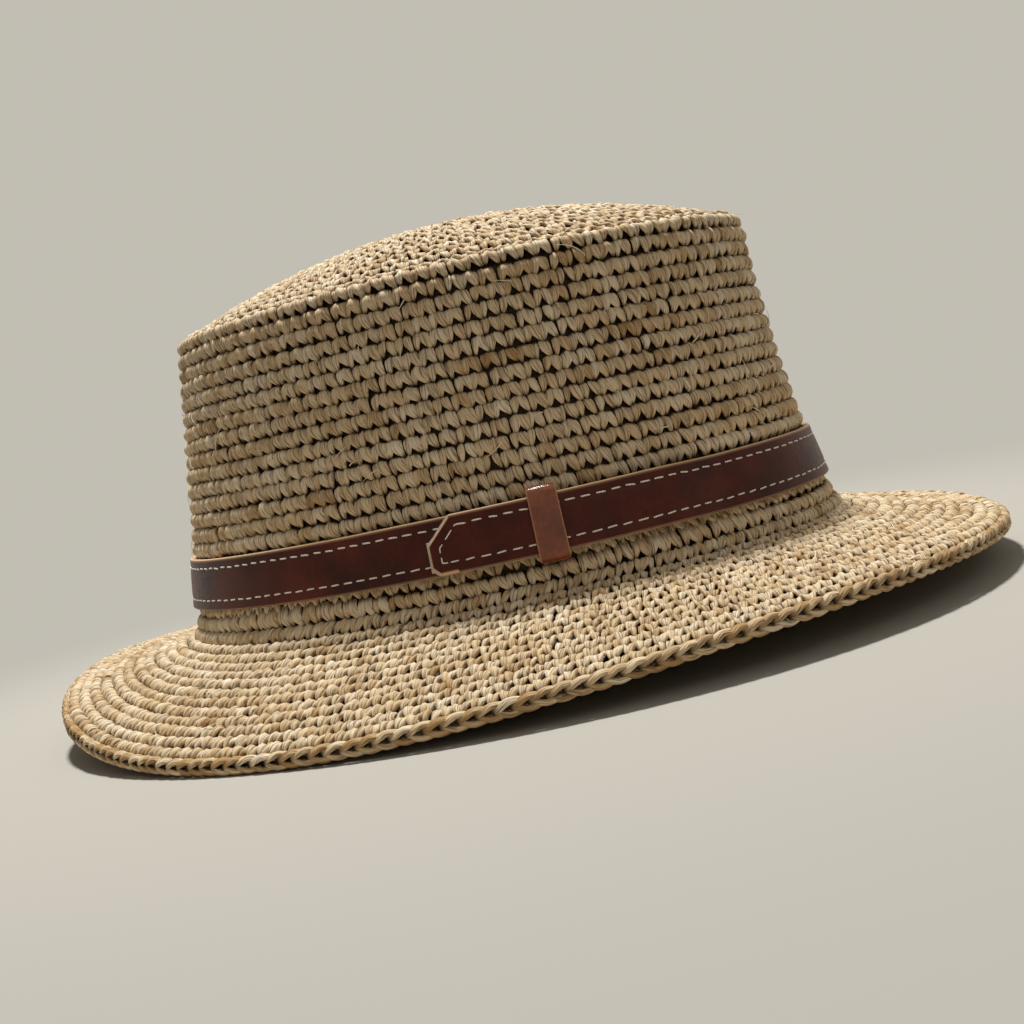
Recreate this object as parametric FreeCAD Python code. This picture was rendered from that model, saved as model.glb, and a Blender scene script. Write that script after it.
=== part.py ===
import FreeCAD, Part
import math
import os

# A crocheted straw hat with a leather band and a keeper loop, in millimetres.
# +X is the front, +Z is up, and Z = 0 is the level surface that the brim stands on.
# Heights on the crown are measured up from its base plane, where the brim begins.

# Crown, outside sizes at three heights, each an oval with its own middle
crown_base_length = 207.0
crown_base_width = 169.2
crown_base_shift = -2.0
crown_waist_height = 45.0
crown_waist_length = 191.1
crown_waist_width = 154.8
crown_waist_shift = -2.7
crown_rim_height = 92.0
crown_rim_length = 181.0
crown_rim_width = 140.4
crown_rim_shift = -0.7
rim_rounding = 4.0
dome_rise = 17.5
wall_thickness = 4.0

# Flare, the curve in which the crown wall runs out into the brim
flare_height = 7.0
flare_reach = 6.0

# Brim, an oval sheet that hangs lower at the sides than at its two ends
brim_length = 300.0
brim_width = 276.0
brim_thickness = 3.0
brim_drop = 14.2
brim_end_lift = 5.0
brim_back_lift = 3.5
edge_round_diameter = 4.0
edge_round_clearance = 0.3

# Sweatband, a cloth ribbon against the inside of the crown
sweatband_height = 26.0
sweatband_thickness = 0.8
sweatband_lower_edge = 1.0
sweatband_clearance = 0.5

# Band, a leather strap with a lining that goes once round the crown and laps over itself
strap_width = 15.3
leather_thickness = 1.5
lining_thickness = 0.6
strap_clearance = 0.4
lap_clearance = 0.3
lap_ramp_gap = 3.0
lap_ramp_length = 26.0

# Tip of the strap, measured forward from the middle of the near side, and its cut corners
tip_forward = 2.3
tip_chamfer = 7.0
tip_lower_chamfer = 2.0
lining_margin = 0.6

# Keeper, a leather loop that holds the tip of the strap down
keeper_from_tip = 30.5
keeper_width = 7.6
keeper_thickness = 1.4
keeper_clearance = 0.3
keeper_end_clearance = 1.2
keeper_corner_radius = 2.2
keeper_above_flare = 0.2
keeper_room_before_tip = 5.0
under_end_past_keeper = 24.0

# How finely the curves are worked out
ring_point_count = 16
wall_strips_above_strap = 3
rim_strips = 3
dome_panels_round = 60
dome_panel_rows = 5
flare_strips = 2
edge_half_strips = 3
plain_section_step = 8.0
lap_section_step = 4.0
path_steps = 40

# Worked out from the sizes above
strap_thickness = leather_thickness + lining_thickness
strap_bottom = flare_height + keeper_above_flare + keeper_thickness + keeper_end_clearance
strap_top = strap_bottom + strap_width
strap_middle = strap_bottom + strap_width / 2
keeper_room = keeper_thickness + keeper_clearance
lap_rise = strap_thickness + lap_clearance
edge_half_length = (brim_length - edge_round_diameter) / 2
edge_half_width = (brim_width - edge_round_diameter) / 2
full_turn = 2 * math.pi
near_side = -math.pi / 2
round_angles = [full_turn * index / ring_point_count for index in range(ring_point_count)]


def edge_drop(angle):
    """How far the brim's edge lies below the crown's base plane."""
    ends = brim_end_lift * math.cos(2 * angle)
    back = brim_back_lift * math.cos(3 * angle)
    return brim_drop - ends + back


fine_angles = [math.radians(degree) for degree in range(360)]
base_plane = max(edge_drop(angle) for angle in fine_angles) + edge_round_diameter / 2


def through_stations(base, waist, rim, height):
    """A smooth curve through the sizes at the crown's base, waist and rim."""
    waist_part = height / crown_waist_height
    rim_part = height / crown_rim_height
    waist_share = waist_part * (crown_rim_height - height) / (crown_rim_height - crown_waist_height)
    rim_share = rim_part * (height - crown_waist_height) / (crown_rim_height - crown_waist_height)
    base_share = 1 - waist_share - rim_share
    return base * base_share + waist * waist_share + rim * rim_share


def wall_oval(height):
    """Half length, half width and middle of the crown's outside at one height."""
    length = through_stations(crown_base_length, crown_waist_length, crown_rim_length, height)
    width = through_stations(crown_base_width, crown_waist_width, crown_rim_width, height)
    middle = through_stations(crown_base_shift, crown_waist_shift, crown_rim_shift, height)
    return length / 2, width / 2, middle


def wall_point(angle, height, offset):
    """A point beside the crown wall, moved straight out of it by the offset."""
    half_length, half_width, middle = wall_oval(height)
    normal_x = math.cos(angle) * half_width
    normal_y = math.sin(angle) * half_length
    size = math.hypot(normal_x, normal_y)
    x = middle + half_length * math.cos(angle) + offset * normal_x / size
    y = half_width * math.sin(angle) + offset * normal_y / size
    return FreeCAD.Vector(x, y, base_plane + height)


def strap_point(angle, height, offset):
    """A point beside the crown wall, moved out of it square to its lean."""
    place = wall_point(angle, height, 0)
    outward = wall_point(angle, height, 1) - place
    upward = wall_point(angle, strap_top, 0) - wall_point(angle, strap_bottom, 0)
    lean = -upward.dot(outward) / strap_width
    return place + (outward + FreeCAD.Vector(0, 0, lean)).normalize() * offset


def wall_ring(height, offset):
    return [wall_point(angle, height, offset) for angle in round_angles]


def brim_point(angle, reach, lift):
    """A point of the brim: reach runs out from the foot of the crown wall, lift up from its slope."""
    inner = wall_point(angle, flare_height, 0)
    outer_x = edge_half_length * math.cos(angle)
    outer_y = edge_half_width * math.sin(angle)
    distance = math.hypot(outer_x - inner.x, outer_y - inner.y)
    share = reach / distance
    x = inner.x + (outer_x - inner.x) * share
    y = inner.y + (outer_y - inner.y) * share
    return FreeCAD.Vector(x, y, base_plane + lift - edge_drop(angle) * max(share, 0))


def brim_edge_point(angle):
    """The middle of the edge round, the lowest and outermost line of the brim."""
    x = edge_half_length * math.cos(angle)
    y = edge_half_width * math.sin(angle)
    return FreeCAD.Vector(x, y, base_plane - edge_drop(angle))


def brim_sheet_point(angle, share, lift):
    """A point of the flat part of the brim, at a share of the way from the flare to the edge round."""
    flare_end = brim_point(angle, flare_reach, 0)
    edge = brim_edge_point(angle)
    width = (edge - flare_end).Length
    sheet_share = share * (width - edge_round_diameter / 2 - edge_round_clearance) / width
    return flare_end + (edge - flare_end) * sheet_share + FreeCAD.Vector(0, 0, lift)


def closed_curve(points):
    """A smooth closed curve through points, with even steps so that rings join cleanly."""
    curve = Part.BSplineCurve()
    steps = list(range(len(points) + 1))
    curve.interpolate(Points=points, PeriodicFlag=True, Parameters=steps)
    return curve.toShape()


def skin(rings):
    """Straight strips from each ring to the next, which keeps the facets few."""
    wires = [Part.Wire([closed_curve(ring)]) for ring in rings]
    return Part.makeLoft(wires, False, True)


def solid_from_faces(faces):
    shell = Part.makeShell(faces)
    shell.sewShape()
    solid = Part.Solid(shell)
    if solid.Volume < 0:
        solid.reverse()
    return solid


def solid_between(outer_rings, inner_rings):
    """A hoop-like solid: an outer and an inner skin, joined at both ends."""
    faces = skin(outer_rings).Faces + skin(inner_rings).Faces
    faces += skin([outer_rings[0], inner_rings[0]]).Faces
    faces += skin([outer_rings[-1], inner_rings[-1]]).Faces
    return solid_from_faces(faces)


def make_crown_side():
    """The wall of the crown, from the top of the flare to the rounding of the rim."""
    rise = (crown_rim_height - rim_rounding - strap_top) / wall_strips_above_strap
    heights = [flare_height]
    for index in range(wall_strips_above_strap + 1):
        heights.append(strap_top + rise * index)
    outer = [wall_ring(height, 0) for height in heights]
    inner = [wall_ring(height, -wall_thickness) for height in heights]
    return solid_between(outer, inner)


def tip_ring(inset, height, angles, share=1.0):
    """A ring of the crown's tip: the oval at the foot of the rim's rounding, moved in and drawn in."""
    half_length, half_width, middle = wall_oval(crown_rim_height - rim_rounding)
    points = []
    for angle in angles:
        x = middle + (half_length - inset) * share * math.cos(angle)
        y = (half_width - inset) * share * math.sin(angle)
        points.append(FreeCAD.Vector(x, y, base_plane + height))
    return points


def flat_face(corners):
    return Part.Face(Part.makePolygon(corners + corners[:1]))


def panelled_dome(inset, foot, rise, skirt):
    """A dome of flat panels over the tip's oval, with a straight skirt below its foot."""
    angles = [full_turn * index / dome_panels_round for index in range(dome_panels_round)]
    rings = [tip_ring(inset, foot - skirt, angles)]
    for index in range(dome_panel_rows):
        share = 1 - index / dome_panel_rows
        top_share = 1 / dome_panel_rows
        height = foot + rise * (1 - share ** 2) / (1 - top_share ** 2)
        rings.append(tip_ring(inset, height, angles, share))
    faces = [flat_face(rings[0]), flat_face(rings[-1])]
    for lower, upper in zip(rings, rings[1:]):
        for index in range(dome_panels_round):
            faces.append(flat_face([lower[index - 1], lower[index], upper[index], upper[index - 1]]))
    return solid_from_faces(faces)


def make_crown_tip():
    """The domed tip with its rounded rim, hollow from below."""
    start = crown_rim_height - rim_rounding
    rings = []
    for index in range(rim_strips + 1):
        turn = math.pi / 2 * index / rim_strips
        inset = rim_rounding * (1 - math.cos(turn))
        rings.append(tip_ring(inset, start + rim_rounding * math.sin(turn), round_angles))
    faces = skin(rings).Faces
    for ring in (rings[0], rings[-1]):
        faces.append(Part.Face(Part.Wire([closed_curve(ring)])))
    slab = solid_from_faces(faces)
    top = slab.fuse(panelled_dome(rim_rounding, crown_rim_height, dome_rise, rim_rounding / 2))
    inner_rise = crown_rim_height + dome_rise - wall_thickness - start
    return top.cut(panelled_dome(wall_thickness, start, inner_rise, rim_rounding)).Solids[0]


def make_brim():
    """The flare and the brim sheet, worked as one piece of crochet."""
    under_reach = flare_reach + wall_thickness
    under_height = flare_height + brim_thickness
    top_flare = []
    under_flare = []
    for index in range(flare_strips + 1):
        turn = math.pi / 2 * index / flare_strips
        top_reach = flare_reach * (1 - math.cos(turn))
        top_lift = flare_height * (1 - math.sin(turn))
        top_flare.append([brim_point(angle, top_reach, top_lift) for angle in round_angles])
        low_reach = flare_reach - under_reach * math.cos(turn)
        low_lift = flare_height - under_height * math.sin(turn)
        under_flare.append([brim_point(angle, low_reach, low_lift) for angle in round_angles])
    half_sheet = brim_thickness / 2
    top_edge = [brim_sheet_point(angle, 1, half_sheet) for angle in round_angles]
    under_edge = [brim_sheet_point(angle, 1, -half_sheet) for angle in round_angles]
    return solid_between(top_flare + [top_edge], under_flare + [under_edge])


def make_edge_round():
    """The last round of crochet, a cord that runs along the brim's edge."""
    radius = edge_round_diameter / 2

    def ring(turn):
        points = []
        for angle in round_angles:
            middle = brim_edge_point(angle)
            outward = FreeCAD.Vector(middle.x, middle.y, 0).normalize()
            sideways = outward * (radius * math.cos(turn))
            points.append(middle + sideways + FreeCAD.Vector(0, 0, radius * math.sin(turn)))
        return points

    half_turns = [math.pi * index / edge_half_strips for index in range(edge_half_strips + 1)]
    upper = skin([ring(turn) for turn in half_turns])
    lower = skin([ring(-turn) for turn in half_turns])
    return solid_from_faces(upper.Faces + lower.Faces)


def make_sweatband():
    """A ribbon against the inside of the crown, which hangs straight down past the flare."""
    top = sweatband_lower_edge + sweatband_height
    outside = -wall_thickness - sweatband_clearance

    def rings(offset):
        bend = wall_ring(flare_height, offset)
        hang = FreeCAD.Vector(0, 0, sweatband_lower_edge - flare_height)
        return [[point + hang for point in bend], bend, wall_ring(top, offset)]

    return solid_between(rings(outside), rings(outside - sweatband_thickness))


def forward_of(angle, distance):
    """The round angle that lies a distance further forward along the near side of the strap."""
    half_length, half_width, _ = wall_oval(strap_middle)
    step = distance / path_steps
    for _ in range(path_steps):
        angle += step / math.hypot(half_length * math.sin(angle), half_width * math.cos(angle))
    return angle


# Places along the near side, from the back to the front
tip_angle = forward_of(near_side, tip_forward)
room_full_angle = forward_of(tip_angle, -keeper_room_before_tip)
room_start_angle = forward_of(room_full_angle, -lap_ramp_length)
keeper_angle = forward_of(tip_angle, keeper_from_tip)
under_end_angle = forward_of(keeper_angle, under_end_past_keeper)
ramp_top_angle = forward_of(under_end_angle, lap_ramp_gap)
ramp_foot_angle = forward_of(ramp_top_angle, lap_ramp_length)


def smooth_share(value, start, end):
    """0 before the start, 1 after the end, and an even curve between them."""
    share = min(max((value - start) / (end - start), 0), 1)
    return share * share * (3 - 2 * share)


def strap_offset(path_angle):
    """How far the strap's inner face stands off the crown wall at a place on its path."""
    on_second_pass = path_angle < near_side - math.pi
    place = path_angle + full_turn if on_second_pass else path_angle
    before = smooth_share(place, room_start_angle, room_full_angle)
    after = smooth_share(place, ramp_foot_angle, ramp_top_angle)
    rise = lap_rise * after if on_second_pass else 0
    return strap_clearance + keeper_room * before * after + rise


def strap_path():
    """Angles from the under end backwards round the crown and over itself to the tip."""
    end = tip_angle - full_turn
    angles = [under_end_angle]
    while angles[-1] > end:
        place = angles[-1]
        near_start = place > room_start_angle - math.radians(plain_section_step)
        near_end = place < ramp_foot_angle - full_turn + math.radians(plain_section_step)
        step = lap_section_step if near_start or near_end else plain_section_step
        angles.append(place - math.radians(step))
    angles[-1] = end
    return angles


def strap_ply(inner, outer, tip_margin):
    """One ply of the strap, drawn between its four long edges, with the corners of its tip cut off."""
    path = strap_path()
    heights_and_faces = [(strap_bottom, inner), (strap_bottom, outer), (strap_top, outer), (strap_top, inner)]
    long_edges = []
    for height, face in heights_and_faces:
        points = [strap_point(angle, height, strap_offset(angle) + face) for angle in path]
        curve = Part.BSplineCurve()
        curve.interpolate(Points=points, Parameters=[path[0] - angle for angle in path])
        long_edges.append(curve.toShape())
    faces = []
    for index, edge in enumerate(long_edges):
        faces.append(Part.makeRuledSurface(edge, long_edges[index - 1]))
    for end in (0, -1):
        low_inner, low_outer, high_outer, high_inner = [edge.Vertexes[end].Point for edge in long_edges]
        low_edge = Part.makeLine(low_inner, low_outer)
        high_edge = Part.makeLine(high_inner, high_outer)
        faces.append(Part.makeRuledSurface(low_edge, high_edge))
    ply = solid_from_faces(faces)
    for cutter in tip_cutters(tip_margin):
        ply = ply.cut(cutter)
    return ply.Solids[0]


def tip_cutters(margin):
    """Two prisms that take the corners off the outer lap and leave the strap below it whole."""
    angle = forward_of(tip_angle, tip_chamfer / 2)
    offset = strap_offset(angle - full_turn) - lap_clearance / 2
    low = strap_point(angle, strap_bottom, offset)
    high = strap_point(angle, strap_top, offset)
    upward = (high - low).normalize()
    end = strap_point(tip_angle, strap_middle, offset)
    start = strap_point(angle, strap_middle, offset)
    to_tip = (end - start).normalize()
    outward = upward.cross(to_tip)
    if outward.dot(FreeCAD.Vector(start.x, start.y, 0)) < 0:
        outward = -outward
    half = (high - low).Length / 2
    reach = (end - start).Length
    spare = tip_chamfer
    depth = outward * (lap_rise + spare)

    def prism(size, side):
        corner = start + to_tip * (reach + margin) + upward * (side * (half + margin))
        along = corner - to_tip * (size + spare) + upward * (side * spare)
        beside = corner + to_tip * spare - upward * (side * (size + spare))
        far = corner + to_tip * spare + upward * (side * spare)
        return Part.Face(Part.makePolygon([along, beside, far, along])).extrude(depth)

    return [prism(tip_chamfer, 1), prism(tip_lower_chamfer, -1)]


def keeper_frame():
    """The centre of the strap's curve at the keeper, the keeper's direction and the wall's lean."""
    half_length, half_width, _ = wall_oval(strap_middle)
    sine = math.sin(keeper_angle)
    cosine = math.cos(keeper_angle)
    size = math.hypot(half_length * sine, half_width * cosine)
    radius = size ** 3 / (half_length * half_width)
    place = wall_point(keeper_angle, strap_middle, 0)
    direction = wall_point(keeper_angle, strap_middle, 1) - place
    low = wall_point(keeper_angle, strap_bottom, 0)
    high = wall_point(keeper_angle, strap_top, 0)
    lean = math.atan2((low - high).dot(direction), high.z - low.z)
    return place - direction * radius, direction, radius, lean


def rounded_oblong(left, right, bottom, top, radius):
    """A closed outline in the XZ plane with rounded corners."""
    corners = [(left, bottom, 180), (right, bottom, 270), (right, top, 0), (left, top, 90)]
    edges = []
    ends = []
    for x, z, start_degree in corners:
        centre_x = x + radius if x == left else x - radius
        centre_z = z + radius if z == bottom else z - radius
        points = []
        for degree in (start_degree, start_degree + 45, start_degree + 90):
            turn = math.radians(degree)
            along = centre_x + radius * math.cos(turn)
            up = centre_z + radius * math.sin(turn)
            points.append(FreeCAD.Vector(along, 0, up))
        if ends:
            edges.append(Part.makeLine(ends[-1], points[0]))
        edges.append(Part.Arc(*points).toShape())
        ends += [points[0], points[2]]
    edges.append(Part.makeLine(ends[-1], ends[0]))
    return Part.Wire(edges)


def make_keeper():
    """A loop bent round both layers of the strap, and curved like the strap itself."""
    centre, direction, radius, lean = keeper_frame()
    inner_left = strap_clearance + keeper_thickness
    inner_right = inner_left + 2 * strap_thickness + lap_clearance + 2 * keeper_clearance
    inner_half = strap_width / 2 + keeper_end_clearance
    bend = keeper_corner_radius - keeper_thickness
    hole = rounded_oblong(inner_left, inner_right, -inner_half, inner_half, bend)
    outline = rounded_oblong(inner_left - keeper_thickness, inner_right + keeper_thickness,
                             -inner_half - keeper_thickness, inner_half + keeper_thickness,
                             keeper_corner_radius)
    face = Part.Face(outline).cut(Part.Face(hole))
    face.rotate(FreeCAD.Vector(0, 0, 0), FreeCAD.Vector(0, 1, 0), -math.degrees(lean))
    face.translate(FreeCAD.Vector(radius, 0, base_plane + strap_middle))
    sweep = math.degrees(keeper_width / radius)
    face.rotate(FreeCAD.Vector(0, 0, 0), FreeCAD.Vector(0, 0, 1), -sweep / 2)
    loop = face.revolve(FreeCAD.Vector(0, 0, 0), FreeCAD.Vector(0, 0, 1), sweep)
    heading = math.degrees(math.atan2(direction.y, direction.x))
    loop.rotate(FreeCAD.Vector(0, 0, 0), FreeCAD.Vector(0, 0, 1), heading)
    loop.translate(FreeCAD.Vector(centre.x, centre.y, 0))
    return loop.Solids[0]


os.makedirs("parts", exist_ok=True)
shapes = {
    "crown_side": make_crown_side(),
    "crown_tip": make_crown_tip(),
    "brim": make_brim(),
    "brim_edge_round": make_edge_round(),
    "sweatband": make_sweatband(),
    "band_lining": strap_ply(0, lining_thickness, lining_margin),
    "band_leather": strap_ply(lining_thickness, strap_thickness, 0),
    "keeper_loop": make_keeper(),
}
for name, shape in shapes.items():
    shape.exportStep("parts/" + name + ".step")
    print(name, round(shape.Volume / 1000, 1), "cm3")
keeper_axis = keeper_frame()[0]
print("crown base plane", round(base_plane, 4), "keeper axis", round(keeper_axis.x, 4), round(keeper_axis.y, 4))
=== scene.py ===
import bpy
import bmesh
import numpy as np
from mathutils import Matrix, Vector


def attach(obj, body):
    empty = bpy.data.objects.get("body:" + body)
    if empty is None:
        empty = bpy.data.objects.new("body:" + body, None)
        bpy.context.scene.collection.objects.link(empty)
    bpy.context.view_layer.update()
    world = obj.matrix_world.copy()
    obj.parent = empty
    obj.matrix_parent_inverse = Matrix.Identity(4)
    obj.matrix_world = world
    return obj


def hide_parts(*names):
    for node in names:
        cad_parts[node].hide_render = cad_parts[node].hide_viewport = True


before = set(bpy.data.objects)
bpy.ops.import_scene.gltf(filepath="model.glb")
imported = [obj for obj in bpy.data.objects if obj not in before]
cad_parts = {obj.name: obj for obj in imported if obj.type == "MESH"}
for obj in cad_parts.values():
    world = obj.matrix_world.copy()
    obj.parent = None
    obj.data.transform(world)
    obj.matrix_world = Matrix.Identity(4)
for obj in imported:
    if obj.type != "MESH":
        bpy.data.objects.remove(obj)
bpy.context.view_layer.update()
rng = np.random.default_rng(11)
mm = 0.001

# A crocheted raffia hat with a stitched leather strap. Shapes are worked out in mm and made in metres.

def unit(vector):
    # a vector divided by its own length
    return vector / (np.linalg.norm(vector, axis=-1, keepdims=True) + 1e-9)


def runAlong(points):
    # length so far at each point of a line: the running sum of the distances between neighbours
    return np.concatenate([[0], np.cumsum(np.linalg.norm(np.diff(points, axis=0), axis=1))])


def squared(wave, power):
    # a sine or cosine raised to a power with its sign kept, which squares up a round section
    return np.sign(wave) * np.abs(wave) ** power


def smoothShare(value, start, end):
    # 0 before the start, 1 past the end, and 3 s squared less 2 s cubed between them
    share = np.clip((value - start) / (end - start), 0, 1)
    return share * share * (3 - 2 * share)


crown = {
    "base": (207.0, 169.2, -2.0),        # length, width, middle at height 0
    "waist": (191.1, 154.8, -2.7),       # at waistHeight
    "rim": (181.0, 140.4, -0.7),         # at rimHeight
    "waistHeight": 45.0,
    "rimHeight": 92.0,
    "rimRounding": 4.0,
    "domeRise": 17.5,
    "wallThickness": 4.0,
    "startHalfLength": 20.3,             # the first round of the dome is a short line, not a point
}
brim = {
    "length": 300.0,
    "width": 276.0,
    "thickness": 3.0,
    "drop": 14.2,
    "endLift": 5.0,
    "backLift": 3.5,
    "flareHeight": 7.0,
    "flareReach": 6.0,
    "edgeDiameter": 4.0,
}
edgeHalfLength = (brim["length"] - brim["edgeDiameter"]) / 2
edgeHalfWidth = (brim["width"] - brim["edgeDiameter"]) / 2


def edgeDrop(angle):
    # how far the edge hangs below the crown's foot: least at front and back
    return brim["drop"] - brim["endLift"] * np.cos(2 * angle) + brim["backLift"] * np.cos(3 * angle)


basePlane = edgeDrop(np.radians(np.arange(360))).max() + brim["edgeDiameter"] / 2


def edgeLine(angle):
    # the middle of the brim's edge round: an oval that hangs by the edge's drop
    return np.stack([
        edgeHalfLength * np.cos(angle), edgeHalfWidth * np.sin(angle), basePlane - edgeDrop(angle),
    ], -1)


def wallOval(height):
    # a parabola through the three sizes of the crown, for length, width and middle
    top = crown["rimHeight"]
    waist = crown["waistHeight"]
    waistShare = height / waist * (top - height) / (top - waist)
    rimShare = height / top * (height - waist) / (top - waist)
    baseShare = 1 - waistShare - rimShare
    length, width, middle = [
        baseShare * crown["base"][i] + waistShare * crown["waist"][i] + rimShare * crown["rim"][i]
        for i in range(3)
    ]
    return length / 2, width / 2, middle


def wallPoint(angle, height, offset):
    # the oval a cos, b sin, moved along its own normal by the offset
    a, b, middle = wallOval(height)
    nx = np.cos(angle) * b
    ny = np.sin(angle) * a
    size = np.hypot(nx, ny)
    x = middle + a * np.cos(angle) + offset * nx / size
    y = b * np.sin(angle) + offset * ny / size
    return np.stack(np.broadcast_arrays(x, y, basePlane + height + 0 * x), -1)


def hatPoint(t, angle):
    # outer face of the hat, t from 0 at the dome's middle to 5 at the brim's edge:
    # 0-1 dome, 1-2 rounded rim, 2-3 wall, 3-4 flare, 4-5 brim sheet
    t, angle = np.broadcast_arrays(np.asarray(t, float), np.asarray(angle, float))
    cosA = np.cos(angle)
    sinA = np.sin(angle)
    rimStart = crown["rimHeight"] - crown["rimRounding"]
    a, b, middle = wallOval(rimStart)
    creaseA = a - crown["rimRounding"]
    creaseB = b - crown["rimRounding"]

    q = np.clip(t, 0, 1)                       # dome: ovals that shrink to a short line
    x = (crown["startHalfLength"] + (creaseA - crown["startHalfLength"]) * q) * cosA
    y = creaseB * q * sinA
    rho2 = (x / creaseA) ** 2 + (y / creaseB) ** 2
    dome = np.stack([middle + x, y, basePlane + crown["rimHeight"] + crown["domeRise"] * (1 - rho2)], -1)

    turn = np.clip(t - 1, 0, 1) * np.pi / 2    # rim: a quarter circle between crease and wall
    inset = crown["rimRounding"] * (1 - np.sin(turn))
    rim = np.stack([
        middle + (a - inset) * cosA,
        (b - inset) * sinA,
        basePlane + rimStart + crown["rimRounding"] * np.cos(turn),
    ], -1)

    wall = wallPoint(angle, rimStart + (brim["flareHeight"] - rimStart) * np.clip(t - 2, 0, 1), 0)

    foot = wallPoint(angle, brim["flareHeight"], 0)
    edge = edgeLine(angle)
    across = edge[..., :2] - foot[..., :2]
    reach = np.linalg.norm(across, axis=-1)

    def brimPoint(distance, lift):
        share = distance / reach
        return np.concatenate([
            foot[..., :2] + across * share[..., None],
            (basePlane + lift - edgeDrop(angle) * share)[..., None],
        ], -1)

    turn = np.clip(t - 3, 0, 1) * np.pi / 2    # flare: a quarter oval from wall to sheet
    flare = brimPoint(brim["flareReach"] * (1 - np.cos(turn)), brim["flareHeight"] * (1 - np.sin(turn)))
    flareEnd = brimPoint(np.full_like(reach, brim["flareReach"]), 0.0)    # sheet: straight on to the edge
    share = np.clip(t - 4, 0, 1)[..., None]
    sheet = flareEnd + (edge - flareEnd) * share
    sheet[..., 2] += brim["thickness"] / 2 * share[..., 0]

    region = np.clip(np.floor(t), 0, 4).astype(int)[..., None]
    return np.choose(region, [dome, rim, wall, flare, sheet])


def hatFrame(t, angle):
    # point and outward normal: the cross product of the slopes along and across the rounds
    step = 0.004
    point = hatPoint(t, angle)
    across = hatPoint(np.minimum(t + step, 5.0), angle) - hatPoint(np.maximum(t - step, 0.002), angle)
    along = hatPoint(t, angle + step) - hatPoint(t, angle - step)
    return point, unit(np.cross(across, along))


def meshObject(name, points, loops, starts, uv=None, values=None):
    # one mesh from whole arrays: points, the corners of all faces in turn, and each face's first corner
    mesh = bpy.data.meshes.new(name)
    mesh.vertices.add(len(points))
    mesh.vertices.foreach_set("co", (np.asarray(points) * mm).astype(np.float32).ravel())
    mesh.loops.add(len(loops))
    mesh.loops.foreach_set("vertex_index", loops.astype(np.int32))
    mesh.polygons.add(len(starts))
    mesh.polygons.foreach_set("loop_start", starts.astype(np.int32))
    mesh.update(calc_edges=True)
    mesh.shade_smooth()
    if uv is not None:
        layer = mesh.uv_layers.new(name="strandMap")
        layer.data.foreach_set("uv", uv[loops].astype(np.float32).ravel())
    for key, value in (values or {}).items():
        attribute = mesh.attributes.new(key, "FLOAT", "POINT")
        attribute.data.foreach_set("value", np.asarray(value, np.float32).ravel())
    mesh.validate()
    obj = bpy.data.objects.new(name, mesh)
    bpy.context.scene.collection.objects.link(obj)
    return obj


def tubesObject(name, rings, uv, values):
    # many closed tubes at once: rings is (tubes, stations, corners, 3), quads join the rings of a tube
    # and a cap shuts each end
    tubes, stations, corners = rings.shape[:3]
    index = np.arange(tubes * stations * corners).reshape(tubes, stations, corners)
    beside = np.roll(index, -1, axis=2)
    quads = np.stack([index[:, :-1], beside[:, :-1], beside[:, 1:], index[:, 1:]], -1).reshape(-1, 4)
    caps = np.concatenate([index[:, 0, ::-1], index[:, -1]]).reshape(-1, corners)
    loops = np.concatenate([quads.ravel(), caps.ravel()])
    starts = np.concatenate([
        np.arange(len(quads)) * 4,
        len(quads) * 4 + np.arange(len(caps)) * corners,
    ])
    flat = {key: np.broadcast_to(value, rings.shape[:3]).ravel() for key, value in values.items()}
    return meshObject(name, rings.reshape(-1, 3), loops, starts, uv.reshape(-1, 2), flat)


def gridObject(name, grid, uv, values=None, closedAcross=False):
    # a closed band: grid is (stations, corners, 3), round in its stations, open or round in its corners
    stations, corners = grid.shape[:2]
    index = np.arange(stations * corners).reshape(stations, corners)
    ahead = np.roll(index, -1, axis=0)
    if closedAcross:
        quads = np.stack([index, np.roll(index, -1, 1), np.roll(ahead, -1, 1), ahead], -1)
    else:
        quads = np.stack([index[:, :-1], index[:, 1:], ahead[:, 1:], ahead[:, :-1]], -1)
    quads = quads.reshape(-1, 4)
    flat = {key: np.broadcast_to(value, grid.shape[:2]).ravel() for key, value in (values or {}).items()}
    starts = np.arange(len(quads)) * 4
    return meshObject(name, grid.reshape(-1, 3), quads.ravel(), starts, uv.reshape(-1, 2), flat)


# Sizes of the strap and its keeper. They come first, because the strap presses the crochet under it flat.

strap = {
    "width": 15.3, "leatherThickness": 1.5, "liningThickness": 0.6, "clearance": 0.4,
    "lapClearance": 0.3, "lapRampGap": 3.0, "lapRampLength": 26.0, "tipForward": 2.3,
    "tipChamfer": 7.0, "tipLowerChamfer": 2.0, "edgeRadius": 0.5, "liningMargin": 0.9,
    "threadInset": 2.9, "groove": 0.16, "grooveWidth": 0.9, "swell": 0.12, "facePoints": 27,
    "tipLength": 12, "tipStep": 0.5, "step": 1.6, "pressedBeyond": 2,
}
keeper = {
    "fromTip": 30.5, "width": 7.6, "thickness": 1.4, "clearance": 0.3, "endClearance": 1.2,
    "cornerRadius": 2.2, "aboveFlare": 0.2, "roomBeforeTip": 5.0, "underEndPast": 24.0,
    "doming": 0.14, "stations": 160, "corners": 28,
}
strapThickness = strap["leatherThickness"] + strap["liningThickness"]
strapBottom = brim["flareHeight"] + keeper["aboveFlare"] + keeper["thickness"] + keeper["endClearance"]
strapTop = strapBottom + strap["width"]
strapMiddle = strapBottom + strap["width"] / 2
keeperRoom = keeper["thickness"] + keeper["clearance"]
lapRise = strapThickness + strap["lapClearance"]


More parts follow.
